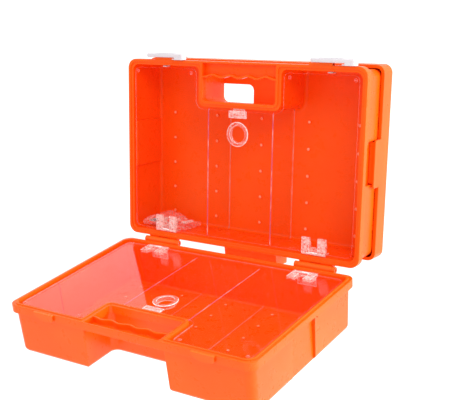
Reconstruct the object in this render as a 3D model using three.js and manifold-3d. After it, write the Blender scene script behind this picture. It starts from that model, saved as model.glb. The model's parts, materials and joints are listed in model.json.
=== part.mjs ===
// First aid kit: a hard plastic case of two half shells, hung open in its wall bracket.
// Millimetres. The case is laid out around its lid hinge: x to the right, y from the mating plane
// towards the wall, z up from the hinge axis. The whole part is then moved so that its origin is the
// centre of the bracket's wall face, with +Y into the wall and +Z up.
import * as THREE from "three";
import { mergeVertices } from "three/addons/utils/BufferGeometryUtils.js";
import Module from "manifold-3d";

const wasm = await Module();
wasm.setup();

// ---- driving dimensions ----
const WIDTH = 400; // across the rim
const HEIGHT = 274.6; // rim height, without hinges and latches
const DEPTH = 75; // each half shell
const HINGE_DROP = 6.7; // lid hinge axis below the rim
const OPEN_ANGLE = 99.35; // degrees between the closed and the open front shell
const GAP = 0.3; // between pieces that touch

const RIM_WIDTH = 8;
const RIM_RADIUS = 14;
const BAND_DEPTH = 12; // the rim's band stands proud of the walls over this depth
const BAND_STEP = 4.5;
const DRAFT = 2; // how far each wall leans in over the whole depth
const BACK_THICKNESS = 3.2;
const BACK_FILLET = 6.5;
const CAVITY_RADIUS = 8;
const CAVITY_FILLET = 5;
const SEAL_WIDTH = 4; // the tongue on the front rim and its seat in the rear rim
const SEAL_HEIGHT = 1.8;

const NOTCH_HALF = 61.5; // half the width of the hand recess
const NOTCH_FLOOR = 223.3;
const NOTCH_RADIUS = 5;
const GRIP_THICKNESS = 2.8;
const RIB_MIDDLE = 259;
const RIB_WAVE = 2.5;
const FINGER_PITCH = 30;

const STUD_COLUMNS = [-160, -80, 0, 80, 160];
const STUD_ROWS = [35, 75, 115, 155, 195];
const STUD_RADIUS = 2.2;
const STUD_HEIGHT = 2.5;
const FOOT_RADIUS = 4;
const FOOT_HEIGHT = 1.5;
const FOOT_X = 180;
const FOOT_ROWS = [30, 258];

const HINGE_FROM = 102; // each lid hinge reaches from here to HINGE_TO, left and right of the middle
const HINGE_TO = 166;
const EAR_WIDTH = 5;
const BARREL_RADIUS = 4.8;
const HINGE_PIN_RADIUS = 1.6;

const LATCH_CENTRE = 130.5; // middle of each latch's bulge and slot
const LATCH_TRAVEL = 20;
const LEFT_LATCH_SHIFT = 4.2; // how far the left latch still is from locked
const BULGE_HALF = 17.5;
const BULGE_DEPTH = 11.8;
const BULGE_HEIGHT = 3.5;
const LATCH_BAR = 52;
const LATCH_BLOCK = 16;
const LATCH_FRONT = -7;
const LATCH_BACK = 16.5;
const LATCH_THICKNESS = 5.6;
const PRONG = 4; // length of each of the latch's two prongs
const PRONG_FROM = 2.2; // the prongs lie this far from the mating plane, one on each side of it
const PRONG_TO = 6.2;
const STEM_OFFSET = 28; // from the block's left face to the stem under the bar
const STEM_SIZE = 3;
const STEM_REACH = 11; // how far the stem and its foot go down into the shell
const FOOT_PLATE = 1.8; // thickness of the foot on the stem
const SLOT_FRONT = 12.6;
const SLOT_BACK = 15.8;
const SLOT_HALF = 12;

const PLATE_INSET = 12.3; // clear cover plate inside the rim outline
const PLATE_FRONT = 2;
const PLATE_THICKNESS = 2;
const FINGER_HOLE_Z = 178;
const FINGER_HOLE_RADIUS = 15;
const RING_RADIUS = 18;
const RING_BORE = 12.6;
const PLATE_HINGE_X = 129;
const PLATE_HINGE_Z = 18.2;
const PLATE_HINGE_HALF = 18.5;
const KNUCKLE_HALF = 6.2;
const KNUCKLE_RADIUS = 2.3;
const PLATE_PIN_RADIUS = 0.9;
const TAB_THICKNESS = 0.9;
const TAB_TOP = 41;
const PLATE_LATCH_HALF = 15; // half the width of the plate latch's thumb slab
const PLATE_LATCH_SLAB = 1.3;
const PLATE_LATCH_DROP = 9.5; // the slab's lower edge below the plate's edge
const PLATE_LATCH_RISE = 0.9; // its upper edge above it: still clear of the rim when slid up by 3
const BOLT_HALF = 10;
const BOLT_RISE = 3.6;
const BOLT_THICKNESS = 1.6;

const DIVIDER_X = 55;
const DIVIDER_THICKNESS = 2;
const DIVIDER_FRONT = 8;
const DIVIDER_BOTTOM = 17.2;
const DIVIDER_TOP = 212.8;

const BRACKET_BACK = 80;
const BRACKET_PLATE = 3;
const BRACKET_WALL = 2.6;
const BRACKET_FRONT = 53;
const BRACKET_RADIUS = 12;
const CLIP_BOTTOM = 114;
const CLIP_TOP = 181;
const CLIP_FRONT = 36;
const PAD_INNER = 188.4; // the wall is thicker behind each clip recess, from here
const PAD_OUTER = 193; // to here, inside the wall
const RECESS_FRONT = 8.5;
const RECESS_DEPTH = 5;
const WINDOW_INNER = 19;
const WINDOW_OUTER = 139;
const WINDOW_BOTTOM = 110;
const WINDOW_TOP = 244;
const SCREW_HOLE_RADIUS = 3;
const SCREW_X = 165;
const SCREW_ROWS = [45, 245];
const LIP_HALF = 48; // the bracket's lip below the case
const LIP_BOTTOM = -20;

// ---- worked-out sizes ----
const HALF = WIDTH / 2;
const BOTTOM = HINGE_DROP;
const TOP = HINGE_DROP + HEIGHT;
const CAVITY_FLOOR = DEPTH - BACK_THICKNESS;
const MIDDLE = (BOTTOM + TOP) / 2;
const PLATE_BACK = PLATE_FRONT + PLATE_THICKNESS;
const BULGE_TOP = TOP + BULGE_HEIGHT;
const HINGE_NOTCH_TOP = PLATE_HINGE_Z + KNUCKLE_RADIUS + 0.7;

// ---- finishes ----
function plastic(color, roughness, opacity = 1) {
  return new THREE.MeshStandardMaterial({
    color, roughness, metalness: 0, opacity, transparent: opacity < 1,
  });
}
const orange = plastic(0xff4a10, 0.35);
const clear = plastic(0xf4f6f8, 0.1, 0.25);
const white = plastic(0xe9ebee, 0.4);
const grey = plastic(0x8a8f98, 0.4);
const steel = new THREE.MeshStandardMaterial({ color: 0xb4b6b8, roughness: 0.3, metalness: 1 });

// ---- solids ----
function solid(geometry) {
  const bare = geometry.clone();
  bare.deleteAttribute("normal");
  bare.deleteAttribute("uv");
  const merged = mergeVertices(bare, 1e-4);
  const vertProperties = new Float32Array(merged.attributes.position.array);
  const triVerts = new Uint32Array(merged.index.array);
  return new wasm.Manifold(new wasm.Mesh({ numProp: 3, vertProperties, triVerts }));
}

function geometryOf(body) {
  const mesh = body.getMesh();
  const geometry = new THREE.BufferGeometry();
  geometry.setAttribute("position", new THREE.BufferAttribute(mesh.vertProperties, 3));
  geometry.setIndex(new THREE.BufferAttribute(mesh.triVerts, 1));
  geometry.computeVertexNormals();
  return geometry;
}

const join = (...bodies) => bodies.reduce((all, body) => all.add(body));
const cut = (body, ...tools) => tools.reduce((rest, tool) => rest.subtract(tool), body);

function box([x0, x1], [y0, y1], [z0, z1]) {
  const block = new THREE.BoxGeometry(x1 - x0, y1 - y0, z1 - z0);
  return solid(block.translate((x0 + x1) / 2, (y0 + y1) / 2, (z0 + z1) / 2));
}

// A round bar along x, y or z, centred on a point.
function rod(axis, radius, length, [x, y, z], sides = 12) {
  const bar = new THREE.CylinderGeometry(radius, radius, length, sides);
  if (axis === "x") bar.rotateZ(Math.PI / 2);
  if (axis === "z") bar.rotateX(Math.PI / 2);
  return solid(bar.translate(x, y, z));
}

// A body with the outline (a list of points) in one plane and straight sides along the third axis.
function prism(plane, points, from, to) {
  const shape = new THREE.Shape(points);
  const raised = new THREE.ExtrudeGeometry(shape, { depth: to - from, bevelEnabled: false });
  if (plane === "xz") raised.rotateX(Math.PI / 2).translate(0, to, 0);
  if (plane === "xy") raised.translate(0, 0, from);
  if (plane === "yz") {
    raised.rotateY(Math.PI / 2).rotateX(Math.PI / 2).translate(from, 0, 0);
  }
  return solid(raised);
}

// A closed outline from corners [x, z, radius]. The point count depends only on the corner count.
function rounded(corners, segments = 4) {
  return corners.flatMap(([x, z, radius], i) => {
    const here = new THREE.Vector2(x, z);
    const [beforeX, beforeZ] = corners.at(i - 1);
    const [afterX, afterZ] = corners[(i + 1) % corners.length];
    const back = new THREE.Vector2(beforeX, beforeZ).sub(here).normalize();
    const on = new THREE.Vector2(afterX, afterZ).sub(here).normalize();
    const half = Math.acos(back.dot(on)) / 2;
    const reach = radius / Math.tan(half);
    const start = here.clone().addScaledVector(back, reach);
    const end = here.clone().addScaledVector(on, reach);
    const middle = back.clone().add(on).setLength(radius / Math.sin(half));
    const centre = here.clone().add(middle);
    const first = start.sub(centre).angle();
    let sweep = end.sub(centre).angle() - first;
    if (sweep > Math.PI) sweep -= 2 * Math.PI;
    if (sweep < -Math.PI) sweep += 2 * Math.PI;
    return Array.from({ length: segments + 1 }, (_, k) => {
      const angle = first + (sweep * k) / segments;
      return new THREE.Vector2(Math.cos(angle), Math.sin(angle)).multiplyScalar(radius).add(centre);
    });
  });
}

const rectangle = (x0, x1, z0, z1, r) => [[x0, z0, r], [x1, z0, r], [x1, z1, r], [x0, z1, r]];
const vectors = (points) => points.map(([a, b]) => new THREE.Vector2(a, b));

// The case outline, seen from the front, moved in by inset: a rectangle with the hand recess let
// into its top edge.
function caseOutline(inset, corner, notch, shoulder = 1) {
  const x = HALF - inset;
  const low = BOTTOM + inset;
  const high = TOP - inset;
  const notchX = NOTCH_HALF + inset;
  const floor = NOTCH_FLOOR - inset;
  return rounded([
    [-x, low, corner], [x, low, corner], [x, high, corner], [notchX, high, shoulder],
    [notchX, floor, notch], [-notchX, floor, notch], [-notchX, high, shoulder], [-x, high, corner],
  ]);
}

// A body through sections of equal point count, each { outline, y }, from front to back.
function loft(sections) {
  const count = sections[0].outline.length;
  const position = sections.flatMap(({ outline, y }) => outline.flatMap((p) => [p.x, y, p.y]));
  const faces = [];
  for (let level = 0; level < sections.length - 1; level++) {
    for (let i = 0; i < count; i++) {
      const here = level * count + i;
      const next = level * count + ((i + 1) % count);
      faces.push(here, here + count, next, next, here + count, next + count);
    }
  }
  const front = THREE.ShapeUtils.triangulateShape(sections[0].outline, []);
  front.forEach(([a, b, c]) => faces.push(a, b, c));
  const last = (sections.length - 1) * count;
  const back = THREE.ShapeUtils.triangulateShape(sections.at(-1).outline, []);
  back.forEach(([a, b, c]) => faces.push(last + a, last + c, last + b));
  const geometry = new THREE.BufferGeometry();
  geometry.setAttribute("position", new THREE.Float32BufferAttribute(position, 3));
  geometry.setIndex(faces);
  return solid(geometry);
}

// Sections of a wall that leans in by DRAFT over the depth and turns into the back with a fillet.
function leaningWall(front, back, inset, fillet, outlineAt) {
  const insetAt = (y) => inset + (DRAFT * y) / DEPTH;
  const turn = back - fillet;
  const quarter = [0, 30, 60, 90].map((degrees) => {
    const angle = THREE.MathUtils.degToRad(degrees);
    return { y: turn + fillet * Math.sin(angle), in: insetAt(turn) + fillet * (1 - Math.cos(angle)) };
  });
  return [{ y: front, in: insetAt(front) }, ...quarter].map((s) => ({
    y: s.y, outline: outlineAt(s.in),
  }));
}

const mirroredX = (body) => body.mirror([1, 0, 0]);
const bothSides = (body) => join(body, mirroredX(body));

// ---- half shell ----
function shellWalls() {
  const wallOutline = (inset) => caseOutline(inset, RIM_RADIUS - 2, NOTCH_RADIUS + 1);
  const cavityOutline = (inset) => caseOutline(inset, CAVITY_RADIUS, CAVITY_RADIUS + 4, CAVITY_RADIUS);
  const bandOutline = (inset) => caseOutline(inset, RIM_RADIUS - inset, NOTCH_RADIUS + inset);
  const band = loft([
    { y: 0, outline: bandOutline(0.7) },
    { y: 0.7, outline: bandOutline(0) },
    { y: BAND_DEPTH - 0.5, outline: bandOutline(0) },
    { y: BAND_DEPTH, outline: bandOutline(0.5) },
  ]);
  const walls = loft(leaningWall(1, DEPTH, BAND_STEP, BACK_FILLET, wallOutline));
  const cavity = leaningWall(0, CAVITY_FLOOR, RIM_WIDTH, CAVITY_FILLET, cavityOutline);
  cavity.unshift({ y: -5, outline: cavity[0].outline });
  const padDepth = [RECESS_FRONT + 1, CAVITY_FLOOR + 1];
  const pad = box([PAD_INNER, PAD_OUTER], padDepth, [CLIP_BOTTOM, CLIP_TOP + 4]);
  return join(cut(join(band, walls, grip()), loft(cavity)), bothSides(pad));
}

// The carrying grip: an open channel with a waved rib for the fingers.
function grip() {
  const across = [-NOTCH_HALF - 1, NOTCH_HALF + 1];
  const topPlate = box(across, [0.4, BAND_DEPTH], [TOP - GRIP_THICKNESS, TOP]);
  const web = box(across, [BAND_DEPTH - GRIP_THICKNESS, BAND_DEPTH], [RIB_MIDDLE, TOP - 1]);
  const steps = 40;
  const wave = Array.from({ length: steps + 1 }, (_, i) => {
    const x = across[0] + ((across[1] - across[0]) * i) / steps;
    return new THREE.Vector2(x, RIB_MIDDLE - RIB_WAVE * Math.cos((2 * Math.PI * x) / FINGER_PITCH));
  });
  const upper = wave.map((p) => new THREE.Vector2(p.x, p.y + GRIP_THICKNESS)).reverse();
  return join(topPlate, web, prism("xz", [...wave, ...upper], 0.4, BAND_DEPTH));
}

function studs() {
  const y = CAVITY_FLOOR - STUD_HEIGHT / 2 + 0.5;
  const places = STUD_COLUMNS.flatMap((x) => STUD_ROWS.map((z) => [x, y, z]));
  return join(...places.map((place) => rod("y", STUD_RADIUS, STUD_HEIGHT + 1, place, 8)));
}

function feet() {
  const places = FOOT_ROWS.flatMap((z) => [[FOOT_X, DEPTH, z], [-FOOT_X, DEPTH, z]]);
  return join(...places.map((place) => rod("y", FOOT_RADIUS, 2 * FOOT_HEIGHT, place)));
}

// The half-moon bulge that a latch's prong slips into, open at its right end.
function bulge(centre) {
  const left = new THREE.Shape();
  left.moveTo(-BULGE_HALF, 0.4);
  left.absellipse(3, 0.4, BULGE_HALF + 3, BULGE_DEPTH, Math.PI, Math.PI / 2, true);
  left.lineTo(BULGE_HALF - 4, BULGE_DEPTH - 1);
  left.lineTo(BULGE_HALF, BULGE_DEPTH - 4);
  left.lineTo(BULGE_HALF, 0.4);
  const points = left.getPoints(8).map((p) => new THREE.Vector2(p.x + centre, p.y));
  return prism("xy", points, TOP - 2, BULGE_TOP);
}

function bulgePocket(centre) {
  const end = centre + BULGE_HALF;
  const across = [PRONG_FROM - GAP, PRONG_TO + 0.4];
  return box([end - PRONG - 1.5, end + 1], across, [TOP + 0.5, BULGE_TOP - 0.8]);
}

// Recess in each side wall for the bracket's clips.
function clipRecess() {
  const wall = HALF - BAND_STEP - RECESS_DEPTH;
  const ends = [CLIP_BOTTOM + 5, CLIP_TOP - 1];
  const corners = rounded(rectangle(RECESS_FRONT, BRACKET_BACK, ...ends, 5));
  return bothSides(prism("yz", corners, wall, HALF + 5));
}

// Pocket in the hand recess's floor for the cover plate's latch.
function plateLatchPocket() {
  const half = BOLT_HALF + 1;
  const across = [PLATE_BACK, PLATE_BACK + BOLT_THICKNESS + 2 * GAP];
  return box([-half, half], across, [NOTCH_FLOOR - 12, NOTCH_FLOOR - 2.5]);
}

// The wedge that joins a hinge barrel to the rim, in the y-z plane, spread over [x0, x1].
function hingeArm([x0, x1]) {
  const middle = (x0 + x1) / 2;
  const barrel = rod("x", BARREL_RADIUS, x1 - x0, [middle, 0, 0], 20);
  const back = BAND_DEPTH - 0.6;
  const wedge = [[2.2, 4.2], [0.6, BOTTOM + 1], [back, BOTTOM + 1], [back, BOTTOM], [2.2, -4.2]];
  return join(barrel, prism("yz", vectors(wedge), x0, x1));
}

function halfShell(isRear) {
  let body = join(shellWalls(), studs(), feet(), bulge(LATCH_CENTRE), bulge(-LATCH_CENTRE));
  body = cut(body, bulgePocket(LATCH_CENTRE), bulgePocket(-LATCH_CENTRE));
  body = cut(body, clipRecess(), plateLatchPocket());
  const sealOutline = (inset) => caseOutline(inset, CAVITY_RADIUS + 4, NOTCH_RADIUS + 4, 4);
  const seatFrom = RIM_WIDTH - SEAL_WIDTH;
  if (isRear) {
    const seat = [{ y: -1, outline: sealOutline(seatFrom) }];
    seat.push({ y: SEAL_HEIGHT + 0.4, outline: sealOutline(seatFrom) });
    const along = [LATCH_CENTRE - SLOT_HALF, LATCH_CENTRE + SLOT_HALF];
    const slot = box(along, [SLOT_FRONT, SLOT_BACK], [TOP - 14, TOP + 1]);
    body = cut(body, loft(seat), bothSides(slot));
    const knuckle = hingeArm([HINGE_FROM + EAR_WIDTH + GAP, HINGE_TO - EAR_WIDTH - GAP]);
    const slit = box([125, 143], [-1, 3.2], [BARREL_RADIUS + 0.5, BOTTOM - 0.2]);
    body = join(body, bothSides(cut(knuckle, slit)));
  } else {
    const ring = (inset, y) => ({ y, outline: sealOutline(inset) });
    const outer = loft([
      ring(seatFrom + 0.8, -SEAL_HEIGHT + 0.4),
      ring(seatFrom + 0.4, -SEAL_HEIGHT + 0.8),
      ring(seatFrom + 0.4, 1.5),
    ]);
    const inner = loft([ring(RIM_WIDTH - 0.9, -SEAL_HEIGHT - 1), ring(RIM_WIDTH - 0.9, 2)]);
    const ears = [[HINGE_FROM, HINGE_FROM + EAR_WIDTH], [HINGE_TO - EAR_WIDTH, HINGE_TO]];
    body = join(body, cut(outer, inner), bothSides(join(...ears.map(hingeArm))));
  }
  const middle = (HINGE_FROM + HINGE_TO) / 2;
  const bore = rod("x", HINGE_PIN_RADIUS + GAP, HINGE_TO - HINGE_FROM + 2, [middle, 0, 0]);
  return cut(body, bothSides(bore));
}

// ---- clear cover plate and its fittings ----
function coverPlate() {
  const outline = caseOutline(PLATE_INSET, CAVITY_RADIUS, CAVITY_RADIUS + 4, CAVITY_RADIUS);
  const sheet = prism("xz", outline, PLATE_FRONT, PLATE_BACK);
  const hole = rod("y", FINGER_HOLE_RADIUS, 10, [0, PLATE_FRONT, FINGER_HOLE_Z], 24);
  const top = NOTCH_FLOOR - PLATE_INSET;
  const latchNotch = box([-6.4, 6.4], [0, 6], [top - 8, top + 1]);
  const reach = PLATE_HINGE_HALF + GAP;
  const along = [PLATE_HINGE_X - reach, PLATE_HINGE_X + reach];
  const hingeNotch = box(along, [0, 6], [BOTTOM, HINGE_NOTCH_TOP]);
  return cut(sheet, hole, latchNotch, bothSides(hingeNotch));
}

function fingerRing() {
  const collar = FINGER_HOLE_RADIUS - GAP;
  const face = PLATE_FRONT - GAP;
  const end = face + 6.3;
  const profile = [
    [RING_BORE, face - 1.1], [RING_RADIUS - 0.5, face - 0.8], [RING_RADIUS, face],
    [collar, face], [collar, end], [RING_BORE, end], [RING_BORE, face - 1.1],
  ];
  const ring = new THREE.LatheGeometry(vectors(profile), 24);
  return solid(ring.translate(0, 0, FINGER_HOLE_Z));
}

const plateMiddle = (PLATE_FRONT + PLATE_BACK) / 2;

// The clip round the plate's lower edge: two lugs, joined by a low bridge behind the plate.
function hingeLeaf(x) {
  const front = PLATE_FRONT - GAP - TAB_THICKNESS;
  const back = PLATE_BACK + GAP + TAB_THICKNESS;
  const edge = HINGE_NOTCH_TOP - GAP;
  const lug = (from, to) => {
    const clip = box([from, to], [front, back], [PLATE_HINGE_Z - 0.5, TAB_TOP]);
    const rib = [[back - 0.1, 21], [back + 3, 24], [back + 3, 30], [back - 0.1, TAB_TOP - 3]];
    const taper = prism("yz", vectors(rib), from + 3, to - 3);
    const mouth = [PLATE_FRONT - GAP, PLATE_BACK + GAP];
    const jaw = box([from - 1, to + 1], mouth, [edge, TAB_TOP + 1]);
    const knuckle = rod("x", KNUCKLE_RADIUS, to - from, [(from + to) / 2, plateMiddle, PLATE_HINGE_Z]);
    return join(cut(clip, jaw), taper, knuckle);
  };
  const inner = KNUCKLE_HALF + GAP;
  const bridge = box([x - inner - 1, x + inner + 1], [PLATE_BACK + GAP, back], [21, 27]);
  const leaf = join(lug(x - PLATE_HINGE_HALF, x - inner), lug(x + inner, x + PLATE_HINGE_HALF), bridge);
  return cut(leaf, rod("x", PLATE_PIN_RADIUS + GAP, 60, [x, plateMiddle, PLATE_HINGE_Z]));
}

// The part of the plate's hinge that stands on the shell's floor.
function hingeBase(x) {
  const across = [x - KNUCKLE_HALF, x + KNUCKLE_HALF];
  const knuckle = rod("x", KNUCKLE_RADIUS, 2 * KNUCKLE_HALF, [x, plateMiddle, PLATE_HINGE_Z]);
  const arm = box(across, [plateMiddle, 15], [PLATE_HINGE_Z - 2, PLATE_HINGE_Z + 0.4]);
  const foot = box([x - 15, x + 15], [9, 22], [BOTTOM + RIM_WIDTH + 0.9, PLATE_HINGE_Z - 0.6]);
  const bore = rod("x", PLATE_PIN_RADIUS + GAP, 60, [x, plateMiddle, PLATE_HINGE_Z]);
  return cut(join(knuckle, arm, foot), bore);
}

function hingePin(x) {
  return rod("x", PLATE_PIN_RADIUS, 2 * PLATE_HINGE_HALF - 1, [x, plateMiddle, PLATE_HINGE_Z], 10);
}

// Sliding latch at the plate's upper edge: thumb slab in front, stem through, bolt behind.
function plateLatch() {
  const top = NOTCH_FLOOR - PLATE_INSET;
  const face = PLATE_FRONT - GAP;
  const thumb = [PLATE_LATCH_HALF, PLATE_LATCH_SLAB];
  const height = [top - PLATE_LATCH_DROP, top + PLATE_LATCH_RISE];
  const slab = box([-thumb[0], thumb[0]], [face - thumb[1], face], height);
  const stem = box([-6, 6], [PLATE_FRONT - 1, PLATE_BACK + 1], [top - 7.6, top - 4.6]);
  const boltY = PLATE_BACK + GAP;
  const boltZ = [top - 8.5, top + BOLT_RISE];
  const bolt = box([-BOLT_HALF, BOLT_HALF], [boltY, boltY + BOLT_THICKNESS], boltZ);
  const grooves = [-8, -5.5, -3].map((z) => box([-12, 12], [0, face - 0.9], [top + z, top + z + 1]));
  return join(cut(slab, ...grooves), stem, bolt);
}

function divider(x) {
  const half = DIVIDER_THICKNESS / 2;
  const back = CAVITY_FLOOR - 1;
  const corners = rectangle(DIVIDER_FRONT, back, DIVIDER_BOTTOM, DIVIDER_TOP, 4);
  return prism("yz", rounded(corners), x - half, x + half);
}

// ---- case latch ----
// Laid out with its block's left face at x = 0: the bar to its left, the two prongs under the bar.
function caseLatch() {
  const low = BULGE_TOP + GAP;
  const high = low + LATCH_THICKNESS;
  const across = [LATCH_FRONT, LATCH_BACK];
  const barEnd = rounded(rectangle(-LATCH_BAR, LATCH_BLOCK, ...across, 5));
  const bar = prism("xy", barEnd, low, high);
  const blockEnd = rounded([[0, across[0], 0.5], [LATCH_BLOCK, across[0], 5],
    [LATCH_BLOCK, across[1], 5], [0, across[1], 0.5]]);
  const block = prism("xy", blockEnd, TOP + 0.5, low + 1);
  const prongs = [[PRONG_FROM, PRONG_TO], [-PRONG_TO, -PRONG_FROM]].map((y) =>
    box([-PRONG, 1], y, [TOP + 0.9, BULGE_TOP - 1.2]));
  const stemX = [-STEM_OFFSET - STEM_SIZE / 2, -STEM_OFFSET + STEM_SIZE / 2];
  const end = TOP - STEM_REACH;
  const stem = box(stemX, [SLOT_FRONT + GAP, SLOT_BACK - GAP], [end, low + 1]);
  const foot = box([stemX[0] - 2, stemX[1] + 2], [9, 19], [end, end + FOOT_PLATE]);
  return join(bar, block, ...prongs, stem, foot);
}

// ---- wall bracket ----
// The lip under the case: a sloping front and two sides, open at the back and to the tray.
function bracketLip() {
  const front = LIP_HALF;
  const outside = [
    [front, BOTTOM + 2], [front, BOTTOM], [front + 8, LIP_BOTTOM], [78, LIP_BOTTOM], [78, BOTTOM + 2],
  ];
  const floor = LIP_BOTTOM + BRACKET_WALL;
  const inside = [
    [front, BOTTOM + 3], [front + 2.6, BOTTOM], [front + 10, floor], [90, floor],
    [90, BOTTOM - 3], [75, BOTTOM - 3], [75, BOTTOM + 3],
  ];
  const clear = LIP_HALF - BRACKET_WALL;
  return cut(
    prism("yz", vectors(outside), -LIP_HALF, LIP_HALF),
    prism("yz", vectors(inside), -clear, clear),
  );
}

function wallBracket() {
  const outline = (inset) => {
    const sides = [-HALF + inset, HALF - inset, BOTTOM + inset, TOP - inset];
    return rounded(rectangle(...sides, BRACKET_RADIUS - inset));
  };
  const tray = prism("xz", outline(0), BRACKET_FRONT, BRACKET_BACK);
  const plateFront = BRACKET_BACK - BRACKET_PLATE;
  const hollow = prism("xz", outline(BRACKET_WALL), BRACKET_FRONT - 1, plateFront);
  const window = rounded(rectangle(WINDOW_INNER, WINDOW_OUTER, WINDOW_BOTTOM, WINDOW_TOP, 9));
  const windows = bothSides(prism("xz", window, BRACKET_BACK - 10, BRACKET_BACK + 1));
  const screws = SCREW_ROWS.flatMap((z) => [-SCREW_X, SCREW_X].map((x) =>
    rod("y", SCREW_HOLE_RADIUS, 20, [x, BRACKET_BACK, z], 16)));
  const clipWall = [HALF - BRACKET_WALL, HALF];
  const clipPlate = box(clipWall, [CLIP_FRONT, BRACKET_FRONT + 1], [CLIP_BOTTOM, CLIP_TOP]);
  const hookFrom = HALF - BAND_STEP - RECESS_DEPTH + 0.6;
  const hookProfile = [
    [HALF, CLIP_FRONT], [hookFrom, CLIP_FRONT + 1], [hookFrom, CLIP_FRONT + 3], [HALF - 1, CLIP_FRONT + 9],
  ];
  const hook = prism("xy", vectors(hookProfile), CLIP_BOTTOM + 7, CLIP_TOP - 3);
  const tube = cut(tray, hollow, windows, ...screws);
  return join(tube, bothSides(join(clipPlate, hook)), bracketLip());
}

// ---- spare clips in their bag ----
const BAG = { x: [-184, -102], y: [12, 64], z: [17.6, 38] };

function bagShell(inset) {
  const [y0, y1] = BAG.y;
  const [z0, z1] = BAG.z;
  const slices = [0, 0.08, 0.25, 0.6, 0.85, 1];
  const swell = [0.42, 0.72, 1, 1, 0.8, 0.5];
  return slices.map((part, i) => {
    const tall = (z1 - z0 - 2 * inset) * swell[i];
    const x = BAG.x[0] + inset + (BAG.x[1] - BAG.x[0] - 2 * inset) * part;
    const radius = Math.min(tall, y1 - y0) * 0.45;
    const low = z0 + inset;
    const corners = rectangle(y0 + inset, y1 - inset, low, low + tall, radius);
    return { y: x, outline: rounded(corners, 3) };
  });
}

// The loft runs along y, so the bag is lofted there and then turned to lie along x.
function partsBag() {
  const film = 0.8;
  const inner = bagShell(film);
  inner[inner.length - 1].y += 3;
  const standing = cut(loft(bagShell(0)), loft(inner));
  return standing.transform([0, 1, 0, 0, 1, 0, 0, 0, 0, 0, 1, 0, 0, 0, 0, 1]);
}

// A spare clip of the kind that carries the cover plates: a lug with a bored knuckle.
function spareClip() {
  const outline = rounded([[-6, 0, 1], [6, 0, 1], [4.5, 17, 2.5], [-4.5, 17, 2.5]], 3);
  const lug = prism("xz", outline, 0, 2.4);
  const knuckle = rod("x", KNUCKLE_RADIUS, 12, [0, 2, 1]);
  return cut(join(lug, knuckle), rod("x", 1.1, 20, [0, 2, 1], 8), rod("y", 2, 10, [0, 0, 10]));
}

const SPARE_CLIPS = [
  { at: [-171, 34, 21.5], turn: [1.4, 0.1, 0.16] },
  { at: [-153, 33, 21.2], turn: [1.5, 0, -0.2] },
  { at: [-136, 34, 21.4], turn: [1.45, 0.1, 0.12] },
  { at: [-163, 41, 21.4], turn: [1.5, 0, 3.3] },
  { at: [-145, 41, 21.3], turn: [1.5, -0.1, 3] },
  { at: [-122, 41, 21.6], turn: [1.45, 0.1, 2.8] },
];

// ---- assembly ----
const kit = new THREE.Group();
kit.name = "first_aid_kit";
kit.position.set(0, -BRACKET_BACK, -MIDDLE);

function addTo(group, name, body, material) {
  const mesh = new THREE.Mesh(geometryOf(body), material);
  mesh.name = name;
  group.add(mesh);
  return mesh;
}

const rearHalf = new THREE.Group();
const frontHalf = new THREE.Group();
frontHalf.scale.y = -1; // the same layout, mirrored in the mating plane
frontHalf.rotation.x = THREE.MathUtils.degToRad(OPEN_ANGLE);
kit.add(rearHalf, frontHalf);

for (const [half, side] of [[rearHalf, "rear"], [frontHalf, "front"]]) {
  addTo(half, side + "_shell", halfShell(side === "rear"), orange);
  addTo(half, side + "_cover_plate", coverPlate(), clear);
  addTo(half, side + "_finger_ring", fingerRing(), clear);
  addTo(half, side + "_cover_latch", plateLatch(), clear);
  for (const [x, place] of [[-1, "left"], [1, "right"]]) {
    const at = x * PLATE_HINGE_X;
    addTo(half, `${side}_${place}_cover_hinge_leaf`, hingeLeaf(at), clear);
    addTo(half, `${side}_${place}_cover_hinge_base`, hingeBase(at), clear);
    addTo(half, `${side}_${place}_cover_hinge_pin`, hingePin(at), clear);
    addTo(half, `${side}_${place}_divider`, divider(x * DIVIDER_X), clear);
  }
}

addTo(kit, "wall_bracket", wallBracket(), orange);

const lidPinMiddle = [(HINGE_FROM + HINGE_TO) / 2, 0, 0];
const lidPin = rod("x", HINGE_PIN_RADIUS, HINGE_TO - HINGE_FROM - 2, lidPinMiddle);
addTo(kit, "left_lid_hinge_pin", mirroredX(lidPin), steel);
addTo(kit, "right_lid_hinge_pin", lidPin, steel);

const lockedAt = BULGE_HALF + 0.5;
const leftLatch = addTo(kit, "left_case_latch", caseLatch(), white);
leftLatch.position.x = -LATCH_CENTRE + lockedAt + LEFT_LATCH_SHIFT;
const rightLatch = addTo(kit, "right_case_latch", caseLatch(), white);
rightLatch.position.x = LATCH_CENTRE + lockedAt + LATCH_TRAVEL;

addTo(kit, "parts_bag", partsBag(), clear);
SPARE_CLIPS.forEach(({ at, turn }, i) => {
  const clip = addTo(kit, `spare_clip_${i + 1}`, spareClip(), i === 0 ? grey : clear);
  clip.position.set(...at);
  clip.rotation.set(...turn, "ZYX");
});

export default kit;
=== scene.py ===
"""First aid kit: a hard orange case standing open in its wall bracket, with clear cover plates.

Shapes are laid out in millimetres round the lid hinge, as in the closed case: x to the right, y from
the mating plane towards the wall, z up. REAR and FRONT carry them to metres in the part's frame.
"""

import json
import math

import bmesh
import bpy
from mathutils import Matrix, Vector, noise


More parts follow.
